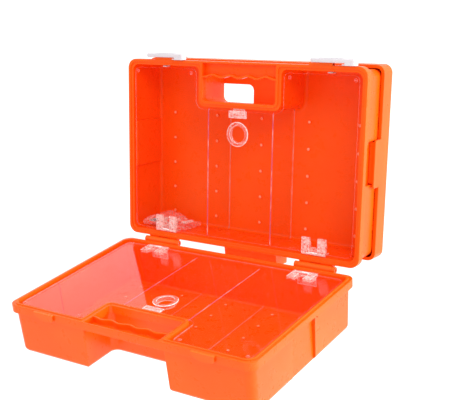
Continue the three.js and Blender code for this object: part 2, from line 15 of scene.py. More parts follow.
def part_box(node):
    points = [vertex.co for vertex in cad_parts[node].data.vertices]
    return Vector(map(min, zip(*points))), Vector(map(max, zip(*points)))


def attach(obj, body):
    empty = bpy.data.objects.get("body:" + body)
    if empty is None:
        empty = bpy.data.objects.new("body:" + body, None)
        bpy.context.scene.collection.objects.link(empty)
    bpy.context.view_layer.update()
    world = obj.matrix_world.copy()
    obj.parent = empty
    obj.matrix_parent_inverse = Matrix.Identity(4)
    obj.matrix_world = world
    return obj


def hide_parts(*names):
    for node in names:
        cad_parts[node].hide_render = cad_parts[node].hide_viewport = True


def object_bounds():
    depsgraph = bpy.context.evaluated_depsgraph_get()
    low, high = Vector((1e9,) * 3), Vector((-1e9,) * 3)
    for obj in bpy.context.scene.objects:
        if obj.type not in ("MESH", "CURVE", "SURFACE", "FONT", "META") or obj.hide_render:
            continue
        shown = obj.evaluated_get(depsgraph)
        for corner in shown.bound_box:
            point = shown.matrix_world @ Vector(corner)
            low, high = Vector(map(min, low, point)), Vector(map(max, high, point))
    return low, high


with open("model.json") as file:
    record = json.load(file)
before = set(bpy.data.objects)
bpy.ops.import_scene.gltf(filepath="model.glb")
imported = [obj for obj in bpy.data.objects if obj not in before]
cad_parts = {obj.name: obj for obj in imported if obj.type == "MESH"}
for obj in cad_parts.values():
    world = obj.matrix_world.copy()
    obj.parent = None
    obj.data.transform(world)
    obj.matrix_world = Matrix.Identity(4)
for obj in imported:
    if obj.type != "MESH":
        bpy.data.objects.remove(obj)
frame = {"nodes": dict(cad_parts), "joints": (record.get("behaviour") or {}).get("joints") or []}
CAD_BOX = [list(corner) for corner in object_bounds()]

# ---- places taken from the frame ----
MM = 0.001
JOINTS = {joint["name"]: joint for joint in frame["joints"]}
HINGE = Vector(JOINTS["lid_hinge"]["pos_m"])
OPEN_ANGLE = math.radians(JOINTS["lid_hinge"]["range_deg"][1])
REAR = Matrix.Translation(HINGE) @ Matrix.Scale(MM, 4)
FRONT = REAR @ Matrix.Rotation(OPEN_ANGLE, 4, "X") @ Matrix.Scale(-1, 4, (0, 1, 0))


def rear_box(node):
    """The lowest and highest corner of a CAD node, in millimetres from the lid hinge."""
    return [(corner - HINGE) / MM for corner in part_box(node)]


BRACKET_HIGH = rear_box("wall_bracket")[1]
PLATE_LOW, PLATE_HIGH = rear_box("rear_cover_plate")
RING_LOW, RING_HIGH = rear_box("rear_finger_ring")
LATCH_LOW, LATCH_HIGH = rear_box("rear_cover_latch")
DIVIDER_LOW, DIVIDER_HIGH = rear_box("rear_right_divider")
BAG_LOW, BAG_HIGH = rear_box("parts_bag")

# ---- sizes, in millimetres ----
HALF = BRACKET_HIGH.x
TOP = BRACKET_HIGH.z
BOTTOM = 6.7
DEPTH = 75
WALL_FACE = BRACKET_HIGH.y
GAP = 0.3
RIM_WIDTH = 8
RIM_RADIUS = 14
RIM_EDGE = 0.9
BAND_DEPTH = 12
BAND_STEP = 4.5
DRAFT = 2
BACK_FILLET = 6.5
CAVITY_FLOOR = 71.8
CAVITY_RADIUS = 8
CAVITY_FILLET = 5
SEAL_WIDTH = 4
SEAM = 0.06  # how far each rim stays back from the mating plane
NOTCH_HALF = 61.5
NOTCH_FLOOR = 223.3
NOTCH_RADIUS = 5
GRIP = 2.8
RIB_MIDDLE = 259
RIB_WAVE = 1.7
FINGER_PITCH = 30
STUD_COLUMNS = (-160, -80, 0, 80, 160)
STUD_ROWS = (35, 75, 115, 155, 195)
STUD_REACH = 2.6  # everything of a stud lies this near its axis
FOOT_X = 180
FOOT_ROWS = (30, 258)
FOOT_RADIUS = 4
FOOT_HEIGHT = 1.5
HINGE_FROM = 102
HINGE_TO = 166
EAR = 5
BARREL = 4.8
HINGE_SLIT = (125, 143)
LID_PIN_BORE = 1.9
LATCH_CENTRE = 130.5
BULGE_HALF = 17.5
BULGE_DEPTH = 11.8
BULGE_TOP = TOP + 3.5
SLOT = (12.6, 15.8)
SLOT_HALF = 12
CLIP = (114, 181)
CLIP_FRONT = 36
RECESS = (8.5, 80)  # where a clip recess runs, from the mating plane
RECESS_DEPTH = 5
PAD = (188.4, 193)  # the wall is thicker here, behind each clip recess
PAD_DEPTH = (7.4, 72.5)
BRACKET_WALL = 2.6
BRACKET_FRONT = 53
BRACKET_PLATE = 3
WINDOW = (19, 139, 110, 244)  # inner, outer, lower and upper edge
THROUGH_BACK = (70, 81)  # from before the bracket's back plate to behind it
SCREWS = [(x, z) for x in (-165, 165) for z in (45, 245)]
LIP_HALF = 46
LIP_BOTTOM = -24
PLATE_HINGE_X = 129
PLATE_HINGE_Z = 18.2
PLATE_HINGE_HALF = 18.5
KNUCKLE = 2.3
KNUCKLE_HALF = 6.2
LUG_WALL = 0.9
LUG_TOP = 41
PLATE_PIN_BORE = 1.2
RING_BORE = 12.6
RING_COLLAR = 14.7
FINGER_HOLE = 15
WELD = 0.002  # points nearer than this become one

# ---- shading ----
SMOOTH_BELOW = 32  # degrees between faces up to which an edge is shaded smooth
HEAD_ON_GLOSS = 0.018  # how much a clear sheet mirrors straight on


# ---- meshes ----
def from_bmesh(body):
    """A mesh object from a bmesh, with its faces turned outwards."""
    mesh = bpy.data.meshes.new("solid")
    bmesh.ops.recalc_face_normals(body, faces=body.faces)
    body.to_mesh(mesh)
    body.free()
    obj = bpy.data.objects.new("solid", mesh)
    bpy.context.scene.collection.objects.link(obj)
    return obj


def solid(verts, faces):
    """A mesh object from points, in millimetres, and faces."""
    draft = bpy.data.meshes.new("draft")
    draft.from_pydata([tuple(v) for v in verts], [], faces)
    body = bmesh.new()
    body.from_mesh(draft)
    bpy.data.meshes.remove(draft)
    return from_bmesh(body)


def loft(rings):
    """A closed body through rings of equally many points, with both ends capped."""
    count = len(rings[0])
    faces = [tuple(range(count)), tuple(range((len(rings) - 1) * count, len(rings) * count))]
    for start in range(0, (len(rings) - 1) * count, count):
        for i in range(count):
            j = (i + 1) % count
            faces.append((start + i, start + j, start + count + j, start + count + i))
    return solid([point for ring in rings for point in ring], faces)


def rounded(corners, segments=6):
    """A closed outline through corners (a, b, radius), each turned into an arc."""
    points = []
    for i, (a, b, radius) in enumerate(corners):
        here = Vector((a, b))
        before = (Vector(corners[i - 1][:2]) - here).normalized()
        after = (Vector(corners[(i + 1) % len(corners)][:2]) - here).normalized()
        half = before.angle(after) / 2
        middle = here + (before + after).normalized() * radius / math.sin(half)
        start = here + before * radius / math.tan(half) - middle
        end = here + after * radius / math.tan(half) - middle
        first = math.atan2(start.y, start.x)
        sweep = math.remainder(math.atan2(end.y, end.x) - first, 2 * math.pi)
        for k in range(segments + 1):
            angle = first + sweep * k / segments
            points.append(middle + radius * Vector((math.cos(angle), math.sin(angle))))
    return points


def rectangle(a0, a1, b0, b1, radius, segments=6):
    """The outline of a rectangle with rounded corners."""
    return rounded([(a0, b0, radius), (a1, b0, radius), (a1, b1, radius), (a0, b1, radius)], segments)


PLANES = {
    "xz": lambda a, b, along: (a, along, b),
    "xy": lambda a, b, along: (a, b, along),
    "yz": lambda a, b, along: (along, a, b),
}


def prism(plane, outline, low, high, edge=0.4):
    """An outline in one plane, given depth along the third axis, with its two rims rounded."""
    body = bmesh.new()
    place = PLANES[plane]
    ends = [[body.verts.new(place(a, b, along)) for a, b in outline] for along in (low, high)]
    body.faces.new(ends[0])
    body.faces.new(ends[1])
    for i in range(len(outline)):
        body.faces.new((ends[0][i - 1], ends[0][i], ends[1][i], ends[1][i - 1]))
    body.faces.ensure_lookup_table()
    rims = list(body.faces[0].edges) + list(body.faces[1].edges)
    bmesh.ops.recalc_face_normals(body, faces=body.faces)
    if edge:
        bmesh.ops.bevel(body, geom=rims, offset=edge, segments=2, profile=0.5, affect="EDGES")
    return from_bmesh(body)


def block(x, y, z, edge=0.4):
    """A box over the ranges x, y and z with every edge rounded."""
    body = bmesh.new()
    bmesh.ops.create_cube(body, size=1)
    for v in body.verts:
        v.co = [low + (high - low) * (c + 0.5) for c, (low, high) in zip(v.co, (x, y, z))]
    if edge:
        bmesh.ops.bevel(body, geom=body.edges[:], offset=edge, segments=2, profile=0.5, affect="EDGES")
    return from_bmesh(body)


def turned(profile, centre, sides=24):
    """A body turned round the y direction from a closed profile of (radius, along)."""
    rings = []
    for k in range(sides):
        angle = 2 * math.pi * k / sides
        ring = []
        for radius, along in profile:
            spot = (radius * math.cos(angle), along, radius * math.sin(angle))
            ring.append(Vector(centre) + Vector(spot))
        rings.append(ring)
    count = len(profile)
    faces = []
    for k in range(sides):
        for i in range(count):
            j = (i + 1) % count
            a, b = k * count, ((k + 1) % sides) * count
            faces.append((a + i, a + j, b + j, b + i))
    return solid([p for ring in rings for p in ring], faces)


def rod(axis, radius, low, high, centre, edge=0.3, sides=24):
    """A round bar from low to high along x or y, with chamfered ends."""
    steps = [(radius, low), (radius, high)]
    if edge:
        steps = [(radius - edge, low), (radius, low + edge), (radius, high - edge), (radius - edge, high)]
    body = bmesh.new()
    rings = []
    for r, along in steps:
        ring = []
        for k in range(sides):
            angle = 2 * math.pi * k / sides
            across, up = r * math.cos(angle), r * math.sin(angle)
            spot = (along, across, up) if axis == "x" else (across, along, up)
            ring.append(body.verts.new(Vector(centre) + Vector(spot)))
        rings.append(ring)
    body.faces.new(rings[0])
    body.faces.new(rings[-1])
    for one, two in zip(rings, rings[1:]):
        for i in range(sides):
            body.faces.new((one[i - 1], one[i], two[i], two[i - 1]))
    return from_bmesh(body)


def merged(objs):
    """Bodies that don't touch, as one object."""
    first, *others = objs
    body = bmesh.new()
    for obj in (first, *others):
        body.from_mesh(obj.data)
    for obj in others:
        bpy.data.objects.remove(obj)
    body.to_mesh(first.data)
    body.free()
    return first


def combine(operation, base, *tools):
    """Adds the tools to the base, or cuts them out of it, one at a time."""
    for tool in tools:
        change = base.modifiers.new("change", "BOOLEAN")
        change.operation = operation
        change.solver = "EXACT"
        change.object = tool
        bpy.context.view_layer.update()
        graph = bpy.context.evaluated_depsgraph_get()
        mesh = bpy.data.meshes.new_from_object(base.evaluated_get(graph))
        base.modifiers.clear()
        base.data = mesh
        bpy.data.objects.remove(tool)
    body = bmesh.new()
    body.from_mesh(base.data)
    bmesh.ops.remove_doubles(body, verts=body.verts, dist=WELD)
    bmesh.ops.dissolve_degenerate(body, edges=body.edges, dist=WELD)
    body.to_mesh(base.data)
    body.free()
    return base


def union(base, *tools):
    return combine("UNION", base, *tools)


def cut(base, *tools):
    return combine("DIFFERENCE", base, *tools)


def both_sides(make):
    """The body that make(side) builds, at the right and mirrored at the left."""
    return merged([make(1), make(-1)])


def span(side, low, high):
    """The range from low to high, at the right or mirrored at the left."""
    return (low, high) if side > 0 else (-high, -low)


# ---- materials ----
class Nodes:
    """A node material that is built up a node at a time."""

    def __init__(self, name):
        self.material = bpy.data.materials.new(name)
        self.material.use_nodes = True
        self.tree = self.material.node_tree
        self.tree.nodes.clear()
        self.output = self.tree.nodes.new("ShaderNodeOutputMaterial")
        self.place = self.add("ShaderNodeTexCoord").outputs["Object"]

    def add(self, kind, inputs=None, **settings):
        node = self.tree.nodes.new(kind)
        for key, value in settings.items():
            setattr(node, key, value)
        for key, value in (inputs or {}).items():
            if isinstance(value, bpy.types.NodeSocket):
                self.tree.links.new(value, node.inputs[key])
            else:
                node.inputs[key].default_value = value
        return node

    def noise(self, scale, detail=3.0, roughness=0.5):
        settings = {"Vector": self.place, "Scale": scale, "Detail": detail, "Roughness": roughness}
        return self.add("ShaderNodeTexNoise", settings).outputs["Fac"]

    def ramp(self, factor, stops):
        node = self.add("ShaderNodeValToRGB", {"Fac": factor})
        ends = node.color_ramp.elements
        while len(ends) < len(stops):
            ends.new(0.5)
        for end, (at, colour) in zip(ends, stops):
            end.position = at
            end.color = (*colour, 1) if len(colour) == 3 else colour
        return node.outputs["Color"]

    def range(self, value, low, high, start=0.3, stop=0.7):
        settings = {"Value": value, "From Min": start, "From Max": stop, "To Min": low, "To Max": high}
        return self.add("ShaderNodeMapRange", settings).outputs["Result"]

    def bump(self, height, strength, distance):
        settings = {"Height": height, "Strength": strength, "Distance": distance}
        return self.add("ShaderNodeBump", settings).outputs["Normal"]

    def finish(self, shader):
        self.tree.links.new(shader, self.output.inputs["Surface"])
        return self.material


def moulded(name, dark, light, edge_tone, grain, gloss):
    """Injection-moulded plastic: slow colour drift, a fine grain, and a paler colour on sharp convex edges.
    """
    n = Nodes(name)
    drift = n.ramp(n.noise(9, 2), [(0.3, dark), (0.7, light)])
    edge = n.add("ShaderNodeNewGeometry").outputs["Pointiness"]
    # a paler colour on sharp convex edges, by how pointed the surface is
    edge_share = n.range(edge, 0.0, 0.35, 0.53, 0.62)
    mixed = n.add("ShaderNodeMix", data_type="RGBA")
    n.tree.links.new(edge_share, mixed.inputs[0])
    n.tree.links.new(drift, mixed.inputs[6])
    mixed.inputs[7].default_value = (*edge_tone, 1)
    scuffs = n.range(n.noise(55, 5, 0.7), gloss, gloss + 0.12)
    normal = n.bump(n.noise(grain, 3, 0.5), 0.04, 0.0003)
    settings = {"Base Color": mixed.outputs[2], "Roughness": scuffs, "Normal": normal, "IOR": 1.5,
                "Specular IOR Level": 0.22}
    return n.finish(n.add("ShaderNodeBsdfPrincipled", settings).outputs["BSDF"])


def schlick(n, normal, base):
    """How much a polished surface mirrors, from either side: base head on, all of it at grazing."""
    facing = n.add("ShaderNodeLayerWeight", {"Blend": 0.5, "Normal": normal}).outputs["Facing"]
    steep = n.add("ShaderNodeMath", {0: facing, 1: 5.0}, operation="POWER").outputs[0]
    return n.range(steep, base, 1.0, 0.0, 1.0)


def clear_sheet(name, tint, waviness):
    """A clear polished face: what is behind it, with a gloss that grows towards grazing."""
    n = Nodes(name)
    ripple = n.bump(n.noise(14, 2), waviness, 0.002)
    haze = n.range(n.noise(40, 4, 0.7), 0.015, 0.06)
    behind = n.add("ShaderNodeBsdfTransparent", {"Color": (*tint, 1)})
    gloss = n.add("ShaderNodeBsdfGlossy", {"Color": (1, 1, 1, 1), "Roughness": haze, "Normal": ripple})
    mirrored = schlick(n, ripple, HEAD_ON_GLOSS)
    mixed = n.add("ShaderNodeMixShader", {0: mirrored, 1: behind.outputs[0], 2: gloss.outputs[0]})
    return n.finish(mixed.outputs[0])


def clear_edge(name, colour, solid_share):
    """The cut or moulded edge of clear plastic, which gathers light and shows pale."""
    n = Nodes(name)
    tone = n.ramp(n.noise(60, 3), [(0.45, colour), (0.75, (1.0, 0.78, 0.74))])
    behind = n.add("ShaderNodeBsdfTransparent", {"Color": (1.0, 0.92, 0.9, 1)})
    rough = n.range(n.noise(200, 3), 0.08, 0.25)
    settings = {"Base Color": tone, "Roughness": rough, "IOR": 1.5}
    lit = n.add("ShaderNodeBsdfPrincipled", settings)
    mixed = n.add("ShaderNodeMixShader", {0: solid_share, 1: behind.outputs[0], 2: lit.outputs[0]})
    return n.finish(mixed.outputs[0])


def clear_moulded(name, tint, least, most):
    """Small clear mouldings: clear in places, and full of caught light in others."""
    n = Nodes(name)
    tone = n.ramp(n.noise(150, 3), [(0.35, tint), (0.6, (1.0, 0.97, 0.97))])
    behind = n.add("ShaderNodeBsdfTransparent", {"Color": (1.0, 0.93, 0.91, 1)})
    rough = n.range(n.noise(300, 3), 0.08, 0.22)
    settings = {"Base Color": tone, "Roughness": rough, "IOR": 1.5, "Specular IOR Level": 1.0}
    lit = n.add("ShaderNodeBsdfPrincipled", settings)
    share = n.range(n.noise(330, 4, 0.7), least, most, 0.42, 0.58)
    mixed = n.add("ShaderNodeMixShader", {0: share, 1: behind.outputs[0], 2: lit.outputs[0]})
    return n.finish(mixed.outputs[0])


def drawn_steel(name):
    """Bright steel wire with fine lines along it."""
    n = Nodes(name)
    streaks = n.add("ShaderNodeMapping", {"Vector": n.place, "Scale": (4, 900, 900)}).outputs[0]
    lines = n.add("ShaderNodeTexNoise", {"Vector": streaks, "Scale": 1.0, "Detail": 4}).outputs["Fac"]
    tone = n.ramp(lines, [(0.3, (0.42, 0.42, 0.44)), (0.7, (0.66, 0.66, 0.68))])
    rough = n.range(lines, 0.22, 0.38)
    settings = {"Base Color": tone, "Metallic": 1.0, "Roughness": rough}
    return n.finish(n.add("ShaderNodeBsdfPrincipled", settings).outputs["BSDF"])


ORANGE = ((0.95, 0.09, 0.001), (0.98, 0.106, 0.0015), (1.0, 0.22, 0.03))
CASE = moulded("case_orange", *ORANGE, 2600, 0.24)
BRACKET = moulded("bracket_orange", *ORANGE, 2200, 0.27)
WHITE = moulded("latch_white", (0.60, 0.57, 0.60), (0.68, 0.64, 0.66), (0.76, 0.72, 0.73), 2400, 0.3)
# painted highlight: the paler orange on the rims of the studs' ends stands in for the light they catch
STUD_HIGHLIGHT = moulded("stud_highlight", (1.0, 0.30, 0.16), (1.0, 0.42, 0.28), (1.0, 0.6, 0.45), 2600, 0.2)
GREY = moulded("clip_grey", (0.20, 0.23, 0.28), (0.30, 0.34, 0.40), (0.5, 0.55, 0.6), 2400, 0.25)
SHEET = clear_sheet("cover_clear", (0.995, 0.975, 0.965), 0.05)
# painted light: the pink of the cover plates' edges, the magenta of the dividers' front edges and the pale
# orange of their back edges stand in for the light these clear edges gather
SHEET_EDGE = clear_edge("cover_clear_edge", (1.0, 0.42, 0.40), 0.32)
DIVIDER_FRONT = clear_edge("divider_front_edge", (0.62, 0.17, 0.36), 0.55)
DIVIDER_BACK = clear_edge("divider_back_edge", (1.0, 0.38, 0.26), 0.45)
FITTING = clear_moulded("fitting_clear", (1.0, 0.78, 0.75), 0.0, 0.5)
# painted highlight: a paler, less clear copy of the fitting plastic for rounded edges, ring bevels and spare
# clips
FITTING_HIGHLIGHT = clear_moulded("fitting_clear_highlight", (1.0, 0.86, 0.85), 0.55, 1.0)
RING = clear_moulded("ring_clear", (1.0, 0.8, 0.78), 0.0, 0.2)
FILM = clear_moulded("bag_film", (1.0, 0.74, 0.70), 0.0, 0.36)
STEEL = drawn_steel("pin_steel")


def show(obj, name, body, slot, nodes, place, materials, which=None, angle=SMOOTH_BELOW):
    """Carries a finished body into the part's frame and fastens it to a CAD body."""
    obj.name = name
    obj.data.name = name
    obj.data.materials.clear()
    for material in materials:
        obj.data.materials.append(material)
    for face in obj.data.polygons:
        face.material_index = which(face) if which else 0
    obj.data.transform(place)
    if place.determinant() < 0:
        obj.data.flip_normals()
    obj.data.shade_smooth()
    obj.data.set_sharp_from_angle(angle=math.radians(angle))
    weigh = obj.modifiers.new("even_shading", "WEIGHTED_NORMAL")
    weigh.keep_sharp = True
    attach(obj, body)
    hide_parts(*nodes)
    return obj


def slanting(face):
    """1 for the rounded edges of a squared moulding, which get a painted highlight, 0 for its flat faces."""
    return int(max(abs(c) for c in face.normal) < 0.97)


def off_front(face):
    """1 for faces that look neither to the front nor to the back."""
    return int(abs(face.normal.y) < 0.9)


def ring_rim(face):
    """1 for the narrow bevels round a turned ring, which get a painted highlight."""
    return int(0.25 < abs(face.normal.y) < 0.97)


def divider_face(face):
    """0 for a divider's sides and ends, 1 for its front edge, 2 for its back edge."""
    if face.normal.y < -0.6:
        return 1
    return 2 if face.normal.y > 0.6 else 0


def stud_highlight(face):
    """1 for the ring round the end of a stud, given a paler orange as a painted highlight."""
    x, y, z = face.center
    near = any(math.hypot(x - a, z - b) < STUD_REACH for a in STUD_COLUMNS for b in STUD_ROWS)
    return int(near and abs(y - CAVITY_FLOOR + 1.8) < 0.5)


# ---- half shells ----
def case_outline(inset, corner, notch, shoulder):
    """The case seen from the front, moved in by inset: a rectangle with the hand recess in its top."""
    x, low, high = HALF - inset, BOTTOM + inset, TOP - inset
    side, floor = NOTCH_HALF + inset, NOTCH_FLOOR - inset
    return rounded([
        (-x, low, corner), (x, low, corner), (x, high, corner), (side, high, shoulder),
        (side, floor, notch), (-side, floor, notch), (-side, high, shoulder), (-x, high, corner),
    ], 8)


def leaning(inset, y):
    return inset + DRAFT * y / DEPTH


def fillet(inset, turn, radius, steps=6):
    """Insets and depths of a wall's turn into the back, from the wall on."""
    for k in range(steps + 1):
        angle = math.radians(90 * k / steps)
        yield leaning(inset, turn) + radius * (1 - math.cos(angle)), turn + radius * math.sin(angle)


def shell_profile(is_rear):
    """(inset, depth, corner radii) round a half shell's section, from the outside to the floor inside."""
    wall = (RIM_RADIUS - 2, 10, 1)
    cavity = (CAVITY_RADIUS, CAVITY_RADIUS + 4, CAVITY_RADIUS)
    seal = (CAVITY_RADIUS + 4, NOTCH_RADIUS + 4, 4)
    outside = [(inset, y, wall) for inset, y in fillet(BAND_STEP, DEPTH - BACK_FILLET, BACK_FILLET)]
    outside.append((outside[-1][0] + 3, DEPTH, wall))
    profile = outside[::-1]
    step = leaning(BAND_STEP, BAND_DEPTH)
    under_band = [(step, BAND_DEPTH + 1.2), (step - 0.1, BAND_DEPTH + 0.4), (step - 0.6, BAND_DEPTH)]
    profile += [(i, y, wall) for i, y in under_band]
    band = [(RIM_EDGE, BAND_DEPTH), (0.25, BAND_DEPTH - 0.25), (0, BAND_DEPTH - RIM_EDGE)]
    band += [(0, RIM_EDGE), (0.25, 0.25), (RIM_EDGE, SEAM)]
    profile += [(i, y, (RIM_RADIUS - i, NOTCH_RADIUS + i, 1)) for i, y in band]
    seat = RIM_WIDTH - SEAL_WIDTH
    if is_rear:
        rim = [(seat - 0.5, SEAM), (seat - 0.1, 0.15), (seat, 0.6)]
        rim += [(seat, 2.0), (seat + 0.3, 2.2), (7.4, 2.2)]
    else:
        rim = [(4.2, SEAM), (4.4, -0.2), (4.45, -0.9), (4.8, -1.35)]
        rim += [(6.7, -1.35), (7.05, -1.0), (7.1, -0.2), (7.3, SEAM)]
    profile += [(i, y, seal) for i, y in rim]
    lip = 2.2 if is_rear else SEAM
    profile += [(7.7, lip + 0.1, cavity), (leaning(RIM_WIDTH, lip + 0.5), lip + 0.5, cavity)]
    profile += [(i, y, cavity) for i, y in fillet(RIM_WIDTH, CAVITY_FLOOR - CAVITY_FILLET, CAVITY_FILLET)]
    profile.append((profile[-1][0] + 3, CAVITY_FLOOR, cavity))
    return profile


def shell_walls(is_rear):
    rings = []
    for inset, y, radii in shell_profile(is_rear):
        rings.append([(p.x, y, p.y) for p in case_outline(inset, *radii)])
    return loft(rings)


def grip():
    """The carrying grip: a channel open to the front, over a rib waved for the fingers."""
    steps = 72
    across = NOTCH_HALF + 1
    back = BAND_DEPTH
    rings = []
    for k in range(steps + 1):
        x = -across + 2 * across * k / steps
        rib = RIB_MIDDLE - RIB_WAVE * math.cos(2 * math.pi * x / FINGER_PITCH)
        section = rounded([
            (0.5, TOP - 0.05, 0.8), (back - 0.05, TOP - 0.05, 0.8), (back - 0.05, rib, 0.8), (0.5, rib, 0.9),
            (0.5, rib + GRIP, 0.9), (back - GRIP, rib + GRIP, 1.2), (back - GRIP, TOP - GRIP, 1.2),
            (0.5, TOP - GRIP, 0.8),
        ], 3)
        rings.append([(x, p.x, p.y) for p in section])
    return loft(rings)


def stud(x, z):
    """A short moulded post with a dimple in its end."""
    base = CAVITY_FLOOR + 0.6
    tip = CAVITY_FLOOR - 2
    profile = [(0.01, base), (2.5, base), (2.35, CAVITY_FLOOR - 0.4), (2.15, tip + 0.3), (1.8, tip),
               (1.1, tip), (0.8, tip + 0.5), (0.01, tip + 0.6)]
    return turned(profile, (x, 0, z), 16)


def bulge(centre):
    """The half-moon that a case latch's prong slips into."""
    outline = []
    for k in range(11):
        angle = math.pi - k * math.pi / 20
        along = 3 + (BULGE_HALF + 3) * math.cos(angle)
        outline.append((centre + along, 0.4 + BULGE_DEPTH * math.sin(angle)))
    end = centre + BULGE_HALF
    outline += [(end - 4, BULGE_DEPTH - 1), (end - 1.2, BULGE_DEPTH - 2.4)]
    outline += [(end, BULGE_DEPTH - 4), (end, 0.4)]
    return prism("xy", outline, TOP - 2, BULGE_TOP, 0.7)


def bulge_pocket(centre):
    end = centre + BULGE_HALF
    return block((end - 5.5, end + 1), (1.9, 6.6), (TOP + 0.5, BULGE_TOP - 0.8), 0)


def hinge_arm(low, high):
    """A barrel and the wedge that joins it to the rim."""
    barrel = rod("x", BARREL, low, high, (0, 0, 0), 0.4, 32)
    back = BAND_DEPTH - 0.6
    wedge = [(2.2, 4.2), (0.6, BOTTOM + 1), (back, BOTTOM + 1), (back, BOTTOM), (2.2, -4.2)]
    return union(barrel, prism("yz", wedge, low, high, 0.3))


def clip_recess(side):
    wall = HALF - BAND_STEP - RECESS_DEPTH
    outline = rectangle(*RECESS, CLIP[0] + 5, CLIP[1] - 1, 5, 8)
    return prism("yz", outline, *span(side, wall, HALF + 5), 0)


def pad(side):
    """The thicker wall behind a clip recess."""
    return block(span(side, *PAD), PAD_DEPTH, (CLIP[0], CLIP[1] + 4), 0.8)


def latch_slot(side):
    """The slot in the rear shell's top that a case latch's stem runs in."""
    across = span(side, LATCH_CENTRE - SLOT_HALF, LATCH_CENTRE + SLOT_HALF)
    return block(across, SLOT, (TOP - 14, TOP + 1), 0)


def rear_arm(side):
    """The rear shell's hinge arm, between the front shell's two ears."""
    return hinge_arm(*span(side, HINGE_FROM + EAR + GAP, HINGE_TO - EAR - GAP))


def arm_slit(side):
    """The opening between the rear arm's barrel and the rim."""
    return block(span(side, *HINGE_SLIT), (-1, 3.2), (BARREL + 0.5, BOTTOM - 0.2), 0)


def inner_ear(side):
    return hinge_arm(*span(side, HINGE_FROM, HINGE_FROM + EAR))


def outer_ear(side):
    return hinge_arm(*span(side, HINGE_TO - EAR, HINGE_TO))


def lid_pin_bore(side):
    return rod("x", LID_PIN_BORE, *span(side, HINGE_FROM - 1, HINGE_TO + 1), (0, 0, 0), 0, 20)


def half_shell(is_rear):
    """One half of the case, laid out as the rear one; only the rear has latch slots."""
    body = shell_walls(is_rear)
    feet = [rod("y", FOOT_RADIUS, DEPTH - 2, DEPTH + FOOT_HEIGHT, (x, 0, z), 0.6)
            for x in (-FOOT_X, FOOT_X) for z in FOOT_ROWS]
    studs = [stud(x, z) for x in STUD_COLUMNS for z in STUD_ROWS]
    bulges = [bulge(-LATCH_CENTRE), bulge(LATCH_CENTRE)]
    body = union(body, grip(), merged(feet + studs), merged(bulges), both_sides(pad))
    pockets = [bulge_pocket(-LATCH_CENTRE), bulge_pocket(LATCH_CENTRE)]
    recesses = both_sides(clip_recess)
    bolt_room = ((-11, 11), (PLATE_HIGH.y, PLATE_HIGH.y + 2.2), (NOTCH_FLOOR - 12, NOTCH_FLOOR - 2.5))
    body = cut(body, merged(pockets), recesses, block(*bolt_room, 0))
    if is_rear:
        body = cut(body, both_sides(latch_slot))
        arms = cut(both_sides(rear_arm), both_sides(arm_slit))
    else:
        arms = merged([both_sides(inner_ear), both_sides(outer_ear)])
    return cut(union(body, arms), both_sides(lid_pin_bore))


# ---- clear plates and their fittings ----
def hinge_notch(side):
    """Room in a cover plate's lower edge for a clip hinge."""
    reach = PLATE_HINGE_HALF + GAP
    across = span(side, PLATE_HINGE_X - reach, PLATE_HINGE_X + reach)
    return block(across, (0, 6), (BOTTOM, PLATE_HINGE_Z + KNUCKLE + 0.7), 0)


def cover_plate():
    """The clear plate, with its finger hole, notches and four small pips along its upper edge."""
    inset = HALF - PLATE_HIGH.x
    outline = case_outline(inset, CAVITY_RADIUS, CAVITY_RADIUS + 4, CAVITY_RADIUS)
    sheet = prism("xz", outline, PLATE_LOW.y, PLATE_HIGH.y, 0.35)
    middle = (RING_LOW.z + RING_HIGH.z) / 2
    hole = rod("y", FINGER_HOLE, -2, 8, (0, 0, middle), 0, 48)
    edge = NOTCH_FLOOR - inset
    latch_notch = block((-6.4, 6.4), (0, 6), (edge - 8, edge + 1), 0)
    sheet = cut(sheet, hole, latch_notch, both_sides(hinge_notch))
    high = TOP - inset
    spots = [(side * x, z) for side in (-1, 1) for x, z in ((83, high - 6), (182, high - 6))]
    bumps = [turned([(0.01, 2.5), (2.6, 2.5), (2.6, 1.8), (2.1, 1.3), (1.4, 1.3), (0.9, 1.7), (0.01, 1.8)],
                    (x, 0, z), 20) for x, z in spots]
    return union(sheet, merged(bumps))


def finger_ring():
    """A ring with a flange in front of the plate and a collar through its finger hole."""
    middle = (RING_LOW.z + RING_HIGH.z) / 2
    outer, bore, collar = RING_HIGH.x, RING_BORE, RING_COLLAR
    front, back = RING_LOW.y, RING_HIGH.y
    face = PLATE_LOW.y - GAP
    profile = [
        (bore, front + 0.4), (bore + 0.4, front), (outer - 0.8, front + 0.3), (outer, face - 0.3),
        (outer - 0.1, face), (collar, face), (collar, back - 0.3), (collar - 0.3, back),
        (bore + 0.3, back), (bore, back - 0.3),
    ]
    return turned(profile, (0, 0, middle), 64)


def cover_latch():
    """Thumb slab in front with grip lines, stem through the plate, bolt behind."""
    low = LATCH_LOW.z
    edge = NOTCH_FLOOR - (HALF - PLATE_HIGH.x)
    front = LATCH_LOW.y
    slab = block((LATCH_LOW.x, LATCH_HIGH.x), (front, front + 1.3), (low, edge + 0.9), 0.4)
    stem = block((-6, 6), (PLATE_LOW.y - 1, PLATE_HIGH.y + 1), (edge - 7.6, edge - 4.6), 0)
    bolt = block((-10, 10), (PLATE_HIGH.y + GAP, LATCH_HIGH.y), (edge - 8.5, edge + 3.6), 0.3)
    lines = merged([block((-12, 12), (front - 1, front + 0.45), (edge + z, edge + z + 1), 0)
                    for z in (-8, -5.5, -3)])
    return union(cut(slab, lines), stem, bolt)


